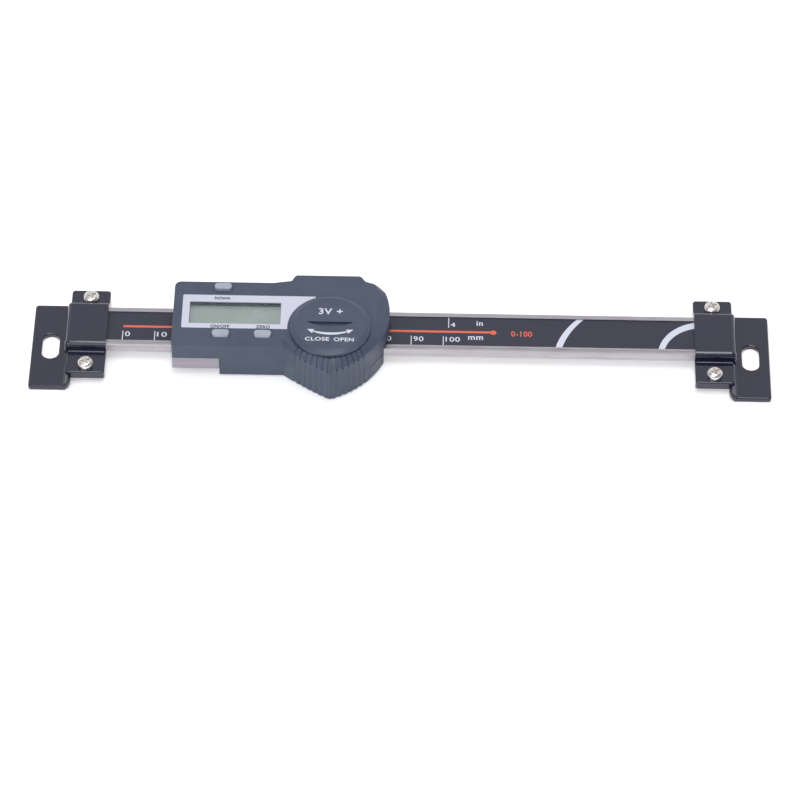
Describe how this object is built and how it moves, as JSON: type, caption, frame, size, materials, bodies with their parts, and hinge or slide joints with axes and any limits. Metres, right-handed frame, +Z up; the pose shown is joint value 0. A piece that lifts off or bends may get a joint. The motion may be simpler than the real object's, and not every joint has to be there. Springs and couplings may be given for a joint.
{
  "type": "horizontal digital linear scale",
  "caption": "Digital linear scale: a grooved steel rail held by two slotted end brackets, with a sliding LCD readout head that has keys, a battery cap and a data port cover.",
  "frame": {"origin": "on the mounting plane, on the rail's centre line, midway between the two end brackets", "axes": "+X along the rail towards the higher readings, +Y across the rail away from the keyed front edge, +Z up from the mounting plane"},
  "size_m": [0.2304, 0.0413, 0.0168],
  "materials": {
    "rail_steel": "brushed lengthwise",
    "circuit_laminate": "solder-masked glass fibre laminate",
    "label_film": "printed film, satin",
    "bracket_coating": "glossy black coating on bent steel sheet",
    "screw_steel": "nickel plated",
    "slider_steel": "ground",
    "gib_brass": "milled",
    "spring_steel": "rolled",
    "wiper_felt": "soft",
    "chip_resin": "moulded",
    "lcd_glass": "reflective liquid crystal cell",
    "lcd_frame_plastic": "moulded",
    "connector_rubber": "striped elastomer",
    "lens_acrylic": "clear acrylic",
    "bezel_foil": "satin foil",
    "housing_plastic": "fine moulded grain",
    "seal_rubber": "moulded",
    "key_plastic": "moulded",
    "cell_can": "nickel plated can",
    "contact_metal": "stamped strip",
    "cap_plastic": "fine moulded grain, printed"
  },
  "bodies": {
    "rail": {"beam": "rail_steel", "scale_grid_strip": "circuit_laminate", "scale_label": "label_film", "left_mount_plate": "bracket_coating", "right_mount_plate": "bracket_coating", "left_clamp_cover": "bracket_coating", "right_clamp_cover": "bracket_coating", "left_clamp_screws": "screw_steel", "right_clamp_screws": "screw_steel"},
    "slider": {"slider_frame": "slider_steel", "slider_back_plate": "slider_steel", "back_plate_screws": "screw_steel", "gib_strip": "gib_brass", "gib_spring": "spring_steel", "gib_screws": "screw_steel", "left_wiper": "wiper_felt", "right_wiper": "wiper_felt", "sensor_board": "circuit_laminate", "main_board": "circuit_laminate", "processor_chip": "chip_resin", "key_switches": "chip_resin", "lcd_glass": "lcd_glass", "lcd_frame": "lcd_frame_plastic", "zebra_connectors": "connector_rubber", "window_lens": "lens_acrylic", "bezel_plate": "bezel_foil", "upper_housing": "housing_plastic", "housing_seal": "seal_rubber", "housing_screws": "screw_steel", "coin_cell": "cell_can", "battery_negative_contact": "contact_metal", "battery_positive_contact": "contact_metal", "skirt_cover": "housing_plastic", "skirt_cover_screws": "screw_steel", "data_port_socket": "chip_resin"},
    "in_mm_key": {"in_mm_button": "key_plastic"},
    "on_off_key": {"on_off_button": "key_plastic"},
    "zero_key": {"zero_button": "key_plastic"},
    "cap": {"battery_cap": "cap_plastic", "cap_o_ring": "seal_rubber"},
    "port_cover": {"data_port_cover": "housing_plastic"}
  },
  "joints": [
    {"name": "head_slide", "type": "slide", "parent": "rail", "child": "slider", "axis": [1, 0, 0], "range_m": [-0.0206, 0.0948]},
    {"name": "in_mm_press", "type": "slide", "parent": "slider", "child": "in_mm_key", "axis": [0, 0, -1], "range_m": [0, 0.0005], "stiffness_N_per_m": 1500},
    {"name": "on_off_press", "type": "slide", "parent": "slider", "child": "on_off_key", "axis": [0, 0, -1], "range_m": [0, 0.0005], "stiffness_N_per_m": 1500},
    {"name": "zero_press", "type": "slide", "parent": "slider", "child": "zero_key", "axis": [0, 0, -1], "range_m": [0, 0.0005], "stiffness_N_per_m": 1500},
    {"name": "battery_cap_turn", "type": "hinge", "parent": "slider", "child": "cap", "pos_m": [-0.0218, -0.0075, 0.0149], "axis": [0, 0, 1], "range_deg": [0, 45]},
    {"name": "port_cover_pull", "type": "slide", "parent": "slider", "child": "port_cover", "axis": [0.8572, -0.515, 0], "range_m": [0, 0.002]}
  ]
}
